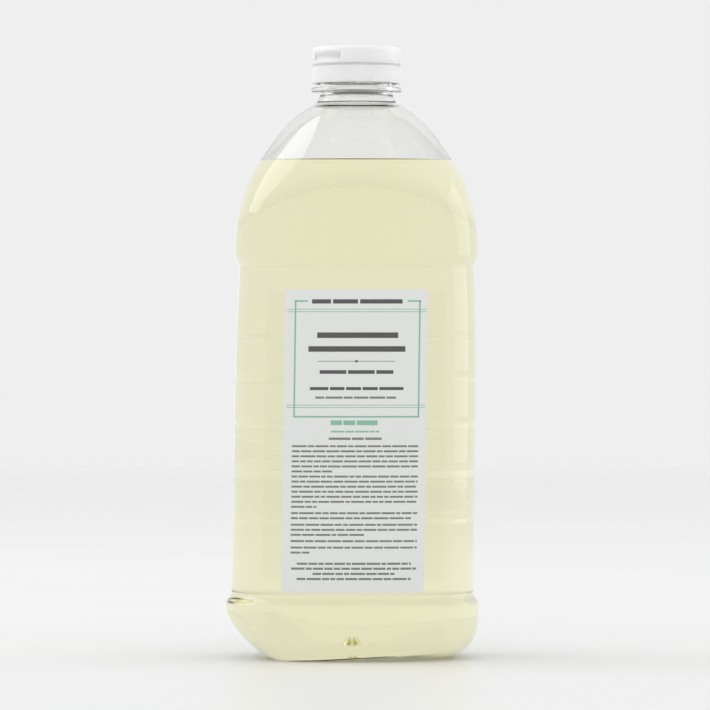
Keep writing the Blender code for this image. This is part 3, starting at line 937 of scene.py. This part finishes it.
@dataclass(frozen=True)
class Label:
    """The front label: a thin film round the panel's front, printed with plain bars and lines."""

    form: BodyForm
    half_width: float = 33.1
    bottom: float = 32.5
    top: float = 173.5
    gap: float = 0.08
    thickness: float = 0.2
    ink: float = 0.03

    def wrap(self, mesh: bpy.types.Mesh, offset: float) -> None:
        """Bend a flat mesh round the panel.

        Args:
            mesh: a mesh in millimetres that faces -Y.
            offset: how far its middle stands off the panel's face.
        """
        points = np.empty(len(mesh.vertices) * 3)
        mesh.vertices.foreach_get("co", points)
        x, y, z = points.reshape(-1, 3).T
        slope = (self.form.front(x + 0.1, z) - self.form.front(x - 0.1, z)) / 0.2
        away = (offset - y) / np.sqrt(1 + slope**2)
        across = x + away * slope + self.form.middle(z)
        moved = np.stack([across, self.form.front(x, z) - away, z], axis=-1)
        mesh.vertices.foreach_set("co", (moved * MM).ravel())
        mesh.update()

    def film(self) -> bpy.types.Object:
        """Build the film itself."""
        bm = bmesh.new()
        bmesh.ops.create_cube(bm, size=1)
        size = (2 * self.half_width, self.thickness, self.top - self.bottom)
        bmesh.ops.scale(bm, vec=size, verts=bm.verts)
        bmesh.ops.translate(bm, vec=(0, 0, (self.top + self.bottom) / 2), verts=bm.verts)
        long = [edge for edge in bm.edges if abs(edge.verts[0].co.x - edge.verts[1].co.x) > 1]
        bmesh.ops.subdivide_edges(bm, edges=long, cuts=95, use_grid_fill=True)
        tall = [edge for edge in bm.edges if abs(edge.verts[0].co.z - edge.verts[1].co.z) > 1]
        bmesh.ops.subdivide_edges(bm, edges=tall, cuts=29, use_grid_fill=True)
        mesh = bpy.data.meshes.new("label")
        bm.to_mesh(mesh)
        bm.free()
        self.wrap(mesh, self.gap + self.thickness / 2)
        film = Coated("label_film", "#E9EBE9", "#E4E6E4", 0.4, size=0.5, bump=0.002)
        piece = add_piece("label", mesh, film.material())
        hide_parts("front_label")
        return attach(piece, "bottle")

    def print_bars(self, name: str, bars: list[Bar], ink: Ink, columns: int, tree) -> bpy.types.Object:
        """Print bars on the film.

        Args:
            name: the piece's name.
            bars: the bars, from the label's middle line and its bottom edge.
            ink: what they are printed with.
            columns: points along each bar, so that it follows the film round.
            tree: the node tree that makes them.

        Returns:
            The piece.
        """
        mesh = bpy.data.meshes.new(name)
        mesh.from_pydata([(bar.x, 0, bar.z) for bar in bars], [], [])
        sizes = np.array([(bar.width, 1, bar.height) for bar in bars], np.float32)
        mesh.attributes.new("bar_size", "FLOAT_VECTOR", "POINT").data.foreach_set("vector", sizes.ravel())
        maker = bpy.data.objects.new(name, mesh)
        bpy.context.scene.collection.objects.link(maker)
        material = ink.material()
        add_nodes_modifier(maker, tree, Columns=columns, Thickness=self.ink, Ink=material)
        mesh = bake(maker).data
        bpy.data.objects.remove(maker)
        self.wrap(mesh, self.gap + self.thickness + self.ink / 2 - 0.01)
        piece = add_piece(name, mesh, material)
        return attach(piece, "bottle")

    def artwork(self) -> list[bpy.types.Object]:
        """Print the green frame, the title's bars and the blocks of small text."""
        tree = bar_tree()
        z = self.bottom
        line = 0.75
        frame = [
            Bar(-25.6, z + 135.6, 6.0, line),
            Bar(26.9, z + 135.6, 6.0, line),
            Bar(0.65, z + 81.8, 58.5, line),
            Bar(-28.2, z + 108.7, line, 54.4),
            Bar(29.5, z + 108.7, line, 54.4),
        ]
        frame += [Bar(0.4, z + height, 64.6, 0.3) for height in (131.8, 130.6, 87.2, 86.1)]
        pieces = [self.print_bars("label_frame", frame, Ink.GREEN, 96, tree)]
        titles = [
            TextBlock(z + 135.4, 1, 0, 2.0, -20.6, 21.4, word=16, seed=3),
            TextBlock(z + 119.7, 1, 0, 2.6, -18, 19.6, word=40, seed=1),
            TextBlock(z + 113.3, 1, 0, 2.6, -22, 23, word=60, seed=2),
            TextBlock(z + 102.6, 1, 0, 1.7, -16.6, 17.6, word=9, seed=5),
            TextBlock(z + 94.9, 1, 0, 1.4, -21, 22.4, word=8, seed=6),
        ]
        bars = [bar for block in titles for bar in block.bars()]
        bars += [Bar(0.4, z + 107.6, 36, 0.25), Bar(0.4, z + 107.6, 1.1, 1.1)]
        pieces.append(self.print_bars("label_titles", bars, Ink.BLACK, 24, tree))
        volume = TextBlock(z + 79, 1, 0, 2.2, -11.2, 10.6, word=7, seed=2).bars()
        volume += TextBlock(z + 74.9, 1, 0, 0.8, -11, 11.4, word=4, seed=4).bars()
        pieces.append(self.print_bars("label_volume", volume, Ink.GREEN, 12, tree))
        pitch = 2.345
        small = [
            TextBlock(z + 90.7, 1, 0, 1.0, -18.4, 19.2, word=5, seed=8),
            TextBlock(z + 71.6, 1, 0, 1.1, -12, 12.6, word=7, seed=9),
            TextBlock(z + 68.1, 6, pitch, 0.9, last=0.32, seed=10),
            TextBlock(z + 54.0, 7, pitch, 0.9, last=0.2, seed=11),
            TextBlock(z + 37.0, 2, pitch, 0.9, last=0.95, seed=12),
            TextBlock(z + 31.6, 3, pitch, 0.9, last=0.6, seed=13),
            TextBlock(z + 24.0, 1, pitch, 0.9, seed=14),
            TextBlock(z + 21.0, 2, pitch, 0.9, last=0.15, seed=15),
            TextBlock(z + 13.5, 1, 0, 1.0, -26, 27, seed=16),
            TextBlock(z + 11.2, 1, 0, 1.0, -28.6, 29.4, seed=17),
            TextBlock(z + 8.8, 1, 0, 1.0, -18.6, 19.4, seed=18),
            TextBlock(z + 6.4, 1, 0, 1.0, -26, 27, seed=19),
        ]
        bars = [bar for block in small for bar in block.bars()]
        pieces.append(self.print_bars("label_small_text", bars, Ink.DARK, 5, tree))
        return pieces


# --------------------------------------------------------------------------- cap


def rib_tree() -> bpy.types.NodeTree:
    """Build the node tree that stands upright ribs round a circle."""
    tree = bpy.data.node_groups.new("ribs_round_circle", "GeometryNodeTree")
    kinds = (("Count", "Int"), ("Radius", "Float"), ("Rib Radius", "Float"), ("Rib Height", "Float"))
    for name, kind in (*kinds, ("Hinge Way", "Vector"), ("Hinge Reach", "Float"), ("Plastic", "Material")):
        tree.interface.new_socket(name, in_out="INPUT", socket_type=f"NodeSocket{kind}")
    tree.interface.new_socket("Ribs", in_out="OUTPUT", socket_type="NodeSocketGeometry")
    given = add_node(tree, "NodeGroupInput").outputs
    circle = add_node(tree, "GeometryNodeMeshCircle", {"Vertices": given["Count"], "Radius": given["Radius"]})
    rib = add_node(
        tree,
        "GeometryNodeMeshCylinder",
        {"Vertices": 10, "Radius": given["Rib Radius"], "Depth": given["Rib Height"]},
    )
    place = add_node(tree, "GeometryNodeInputPosition").outputs[0]
    reach = add_node(tree, "ShaderNodeVectorMath", {0: place, 1: given["Hinge Way"]}, operation="DOT_PRODUCT")
    beyond = add_node(tree, "FunctionNodeCompare", {0: reach.outputs["Value"], 1: given["Hinge Reach"]})
    kept = add_node(tree, "GeometryNodeDeleteGeometry", {0: circle.outputs[0], 1: beyond.outputs[0]})
    placed = add_node(
        tree, "GeometryNodeInstanceOnPoints", {"Points": kept.outputs[0], "Instance": rib.outputs["Mesh"]}
    )
    real = add_node(tree, "GeometryNodeRealizeInstances", {"Geometry": placed.outputs[0]})
    dressed = add_node(tree, "GeometryNodeSetMaterial", {"Geometry": real.outputs[0], "Material": given["Plastic"]})
    add_node(tree, "NodeGroupOutput", {"Ribs": dressed.outputs[0]})
    return tree


@dataclass(frozen=True)
class Cap:
    """The flip-top cap: a screw-on body with a spout, a hinged lid with a pin, and the strip that joins them."""

    x: float = 2.1
    radius: float = 20.95
    skirt_radius: float = 20.83
    bottom: float = 271.3
    wall: float = 2.0
    deck: float = 280.1
    deck_thickness: float = 1.4
    lid_bottom: float = 280.2
    lid_top: float = 288.7
    lid_thickness: float = 1.3
    lid_rounding: float = 2.0
    spout_offset: float = 6
    spout_radius: float = 4.4
    spout_height: float = 3.2
    orifice: float = 2.8
    pin: float = 2.4
    thumb_angle: float = math.radians(223)
    thumb: tuple[float, float, float, float] = (18.5, 1.3, 2.8, 283.9)  # width, depth, rounding and height
    flat: float = 20
    flat_bottom: float = 277
    segments: int = 180
    ribs: int = 126
    rib_radius: float = 0.16
    strip_size: tuple[float, float, float] = (9, 2.6, 0.3)  # width, height and thickness
    thread: Thread = field(default_factory=lambda: Thread(THREAD_START + THREAD_PITCH / 2, 0.0, 0.7))

    def along(self, distance: float, z: float = 0.0) -> tuple[float, float, float]:
        """The point at this distance from the axis, towards the thumb recess."""
        return self.x + distance * math.cos(self.thumb_angle), distance * math.sin(self.thumb_angle), z

    def turned(self, name: str, profile: list[tuple[float, float]], place=None) -> bpy.types.Object:
        """Turn a profile into a solid.

        Args:
            name: the solid's name.
            profile: its (radius, height) points, of which the first and last are on the axis.
            place: a point on the axis, which is the cap's own axis if none is given.

        Returns:
            The solid.
        """
        x, y, _ = place or (self.x, 0, 0)
        grid = turned_grid(profile[1:-1], x, self.segments)
        grid[..., 1] += y
        ends = [(x, y, profile[i][1]) for i in (0, -1)]
        return add_piece(name, mesh_from_grid(name, grid, *ends))

    def block(self, name: str, size, place, turn: float) -> bpy.types.Object:
        """Make a box to cut with.

        Args:
            name: its name.
            size: its size along X, Y and Z before it's turned.
            place: its middle.
            turn: how far it's turned about the vertical.

        Returns:
            The box.
        """
        bm = bmesh.new()
        bmesh.ops.create_cube(bm, size=MM)
        bmesh.ops.scale(bm, vec=size, verts=bm.verts)
        mesh = bpy.data.meshes.new(name)
        bm.to_mesh(mesh)
        bm.free()
        obj = add_piece(name, mesh)
        obj.location = [value * MM for value in place]
        obj.rotation_euler.z = turn
        return obj

    def hinge_cut(self, bottom: float, top: float) -> bpy.types.Object:
        """A box that flattens the round side at the hinge."""
        place = self.along(-(self.flat + 3), (bottom + top) / 2)
        return self.block("hinge_flat", (6, 22, top - bottom), place, self.thumb_angle)

    def body(self, plastic: bpy.types.Material) -> bpy.types.Object:
        """Build the screw-on half."""
        inner = self.radius - self.wall
        under = self.deck - self.deck_thickness
        profile = rounded(
            [
                (0, under, 0),
                (inner, under, 0.5),
                (inner, self.bottom, 0.4),
                (self.skirt_radius, self.bottom, 0.35),
                (self.skirt_radius, self.deck - 0.55, 0.15),
                (self.radius, self.deck - 0.45, 0.12),
                (self.radius, self.deck, 0.1),
                (0, self.deck, 0),
            ]
        )
        # The inner wall's rings are put in where the thread is, so that it can stand out of them.
        head = [p for p in profile if p[1] > under - 0.6 and p[0] <= inner]
        tail = profile[len(head) :]
        angles = np.arange(self.segments) * TAU / self.segments
        heights = np.arange(under - 0.9, self.bottom + 0.5, -0.25)
        threaded = grid_from(inner - self.thread.relief(heights, angles), heights, self.x, angles)
        grid = np.concatenate(
            [
                turned_grid(head[1:], self.x, self.segments),
                threaded,
                turned_grid(tail[:-1], self.x, self.segments),
            ]
        )
        mesh = mesh_from_grid("cap_body_fine", grid, (self.x, 0, under), (self.x, 0, self.deck))
        piece = add_piece("cap_body_fine", mesh, plastic)
        tip = self.deck + self.spout_height
        spout = self.turned(
            "spout",
            rounded(
                [
                    (0, under + 0.5, 0),
                    (self.spout_radius + 0.5, under + 0.5, 0),
                    (self.spout_radius + 0.5, self.deck + 0.01, 0),
                    (self.spout_radius, self.deck + 0.5, 0.3),
                    (self.spout_radius, tip, 0.5),
                    (0, tip, 0),
                ]
            ),
            self.along(self.spout_offset),
        )
        orifice = self.turned(
            "orifice",
            rounded(
                [
                    (0, under - 1, 0),
                    (self.orifice, under - 1, 0),
                    (self.orifice, tip - 0.3, 0.2),
                    (self.orifice + 0.6, tip + 0.3, 0),
                    (0, tip + 0.3, 0),
                ]
            ),
            self.along(self.spout_offset),
        )
        carve(
            piece,
            [
                (Join.ADD, self.grip(plastic)),
                (Join.ADD, spout),
                (Join.CUT, orifice),
                (Join.CUT, self.hinge_cut(self.flat_bottom, self.deck + 1)),
            ],
        )
        add_finish(piece)
        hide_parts("cap_body")
        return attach(piece, "cap")

    def grip(self, plastic: bpy.types.Material) -> bpy.types.Object:
        """Build the fine ribs round the skirt that fingers grip, to be joined to it."""
        maker = bpy.data.objects.new("grip", bpy.data.meshes.new("grip"))
        bpy.context.scene.collection.objects.link(maker)
        add_nodes_modifier(
            maker,
            rib_tree(),
            Count=self.ribs,
            Radius=(self.radius - self.rib_radius) * MM,
            Rib_Radius=self.rib_radius * MM,
            Rib_Height=(self.deck - self.bottom - 1.9) * MM,
            Hinge_Way=(-math.cos(self.thumb_angle), -math.sin(self.thumb_angle), 0),
            Hinge_Reach=(self.flat - 0.3) * MM,
            Plastic=plastic,
        )
        bake(maker)
        maker.location = (self.x * MM, 0, ((self.deck + self.bottom) / 2 - 0.1) * MM)
        return maker

    def lid(self, plastic: bpy.types.Material) -> bpy.types.Object:
        """Build the hinged half, with the pin that closes the spout and the recess that a thumb pushes."""
        inner = self.radius - self.wall
        ceiling = self.lid_top - self.lid_thickness
        profile = rounded(
            [
                (0, ceiling, 0),
                (inner, ceiling, 1.2),
                (inner, self.lid_bottom, 0.25),
                (self.radius, self.lid_bottom, 0.1),
                (self.radius, self.lid_top, self.lid_rounding),
                (0, self.lid_top, 0),
            ],
            8,
        )
        piece = self.turned("flip_lid_fine", profile)
        piece.data.materials.append(plastic)
        tip = self.deck + self.spout_height - 1.5
        pin = self.turned(
            "pin",
            rounded(
                [
                    (0, tip, 0),
                    (self.pin - 0.4, tip, 0.2),
                    (self.pin, tip + 0.8, 0.3),
                    (self.pin, ceiling + 0.6, 0),
                    (0, ceiling + 0.6, 0),
                ]
            ),
            self.along(self.spout_offset),
        )
        width, depth, rounding, height = self.thumb
        bpy.ops.mesh.primitive_torus_add(
            major_segments=self.segments * 2,
            minor_segments=40,
            major_radius=(self.radius - depth + rounding) * MM,
            minor_radius=rounding * MM,
            location=(self.x * MM, 0, height * MM),
        )
        recess = bpy.context.object
        size = (14, width, 4 * rounding)
        window = self.block("thumb_window", size, self.along(self.radius, height), self.thumb_angle)
        carve(recess, [(Join.KEEP, window)])
        flat = self.hinge_cut(self.deck - 1, self.lid_top + 1)
        carve(piece, [(Join.ADD, pin), (Join.CUT, recess), (Join.CUT, flat)])
        add_finish(piece)
        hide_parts("flip_lid")
        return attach(piece, "lid")

    def strip(self, plastic: bpy.types.Material) -> bpy.types.Object:
        """Build the thin strip of plastic at the hinge, between the cap's body and its lid."""
        width, height, thickness = self.strip_size
        bm = bmesh.new()
        bmesh.ops.create_grid(bm, x_segments=2, y_segments=16, size=0.5)
        bmesh.ops.scale(bm, vec=(width, height, 1), verts=bm.verts)
        made = bmesh.ops.extrude_face_region(bm, geom=bm.faces[:])
        upper = [item for item in made["geom"] if isinstance(item, bmesh.types.BMVert)]
        bmesh.ops.translate(bm, vec=(0, 0, thickness), verts=upper)
        bmesh.ops.recalc_face_normals(bm, faces=bm.faces)
        away = np.array([-math.cos(self.thumb_angle), -math.sin(self.thumb_angle), 0])
        side = np.array([-away[1], away[0], 0])
        middle = np.array(self.along(-(self.flat - 0.05), (self.deck + self.lid_bottom) / 2))
        for vert in bm.verts:
            x, z, out = vert.co
            vert.co = (middle + side * x + away * out + np.array([0, 0, z])) * MM
        mesh = bpy.data.meshes.new("hinge_strip")
        bm.to_mesh(mesh)
        bm.free()
        piece = add_piece("hinge_strip", mesh, plastic)
        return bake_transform(piece)


def add_finish(piece: bpy.types.Object) -> None:
    """Shade a carved piece smooth but for its sharp edges."""
    piece.data.shade_smooth()
    piece.data.set_sharp_from_angle(angle=math.radians(35))


# --------------------------------------------------------------------------- studio


@dataclass(frozen=True)
class SoftLight:
    """A large soft light that faces a point."""

    name: str
    place: tuple[float, float, float]  # metres
    size: tuple[float, float]
    power: float
    color: str = "#FFFFFF"
    target: tuple[float, float, float] = (0, 0, 0.14)

    def build(self) -> bpy.types.Object:
        """Build the light, which the camera doesn't see."""
        data = bpy.data.lights.new(self.name, "AREA")
        data.shape = "RECTANGLE"
        data.size, data.size_y = self.size
        data.energy = self.power
        data.color = srgb(self.color)[:3]
        obj = bpy.data.objects.new(self.name, data)
        bpy.context.scene.collection.objects.link(obj)
        obj.location = self.place
        aim = Vector(self.target) - Vector(self.place)
        obj.rotation_euler = aim.to_track_quat("-Z", "Y").to_euler()
        obj.visible_camera = False
        return obj


@dataclass(frozen=True)
class Studio:
    """The plain pale room: floor, sky, lights and camera."""

    sky: str = "#EFEFEF"
    camera_side: float = 1.12  # brightness of the sky behind the camera, beside that behind the bottle
    floor_radius: float = 4.4
    lights: tuple[SoftLight, ...] = (
        SoftLight("window_left", (-1.45, 0.45, 1.35), (1.2, 1.5), 7),
        SoftLight("window_right", (1.9, 0.5, 0.6), (1.6, 1.4), 5),
    )
    eye: tuple[float, float, float] = (0.0014, -2.40, 0.143)
    lens: float = 257

    def floor(self) -> bpy.types.Object:
        """Build the pale stone floor, which fades into the sky at its edge."""
        bm = bmesh.new()
        bmesh.ops.create_circle(bm, cap_ends=True, segments=96, radius=self.floor_radius)
        mesh = bpy.data.meshes.new("floor")
        bm.to_mesh(mesh)
        bm.free()
        material, tree, shader = new_material("pale_honed_stone")
        set_inputs(shader, IOR=1.5, Roughness=0.35)
        veins = noise_of(tree, 160, 4)
        mix = add_node(
            tree,
            "ShaderNodeMix",
            {"Factor": spread(tree, veins, 0, 1), "A": srgb("#F1F2F2"), "B": srgb("#F5F5F4")},
            data_type="RGBA",
        )
        tree.links.new(mix.outputs["Result"], shader.inputs["Base Color"])
        place = add_node(tree, "ShaderNodeTexCoord").outputs["Object"]
        reach = add_node(tree, "ShaderNodeVectorMath", {0: place}, operation="LENGTH").outputs["Value"]
        edge = add_node(
            tree, "ShaderNodeMapRange", {0: reach, 1: 3.3, 2: self.floor_radius, 3: 1.0, 4: 0.0},
            interpolation_type="SMOOTHSTEP",
        )
        tree.links.new(edge.outputs[0], shader.inputs["Alpha"])
        floor = add_piece("floor", mesh, material)
        return floor

    def room(self) -> None:
        """Light the scene with a pale sky that is a little brighter on the camera's side."""
        world = bpy.data.worlds.new("studio")
        bpy.context.scene.world = world
        world.use_nodes = True
        tree = world.node_tree
        way = add_node(tree, "ShaderNodeTexCoord").outputs["Generated"]
        parts = add_node(tree, "ShaderNodeSeparateXYZ", {0: way}).outputs
        strength = add_node(
            tree, "ShaderNodeMapRange", {0: parts["Y"], 1: -0.6, 2: 0.3, 3: self.camera_side, 4: 1.0},
            interpolation_type="SMOOTHSTEP",
        )
        background = tree.nodes["Background"]
        background.inputs["Color"].default_value = srgb(self.sky)
        tree.links.new(strength.outputs[0], background.inputs["Strength"])

    def camera(self) -> bpy.types.Object:
        """Build the camera, level and in front of the bottle."""
        data = bpy.data.cameras.new("camera")
        data.lens, data.sensor_width = self.lens, 36
        camera = bpy.data.objects.new("camera", data)
        bpy.context.scene.collection.objects.link(camera)
        camera.location = self.eye
        camera.rotation_euler = (math.pi / 2, 0, 0)
        bpy.context.scene.camera = camera
        return camera

    def build(self) -> None:
        """Build the whole studio."""
        self.floor()
        self.room()
        for light in self.lights:
            light.build()
        self.camera()
        scene = bpy.context.scene
        scene.view_settings.view_transform = "Standard"
        scene.cycles.max_bounces = 48
        scene.cycles.transmission_bounces = 40
        scene.cycles.transparent_max_bounces = 12


def main() -> None:
    """Build every piece round the frame, and then the studio."""
    logging.basicConfig(level=logging.INFO, format="%(message)s")
    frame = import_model()
    form = BodyForm()
    bottle = Bottle(form)
    bottle.shell()
    bottle.soap()
    label = Label(form)
    label.film()
    label.artwork()
    foam = Coated("liner_foam", "#E6E6E2", "#DEDEDA", 0.75, size=0.4, bump=0.02).material()
    frame["nodes"]["cap_liner"].data.materials.clear()
    frame["nodes"]["cap_liner"].data.materials.append(foam)
    plastic = MilkyPlastic("milky_polypropylene").material()
    cap = Cap()
    cap.body(plastic)
    cap.lid(plastic)
    cap.strip(plastic)
    Studio().build()


if __name__ == "__main__":
    main()
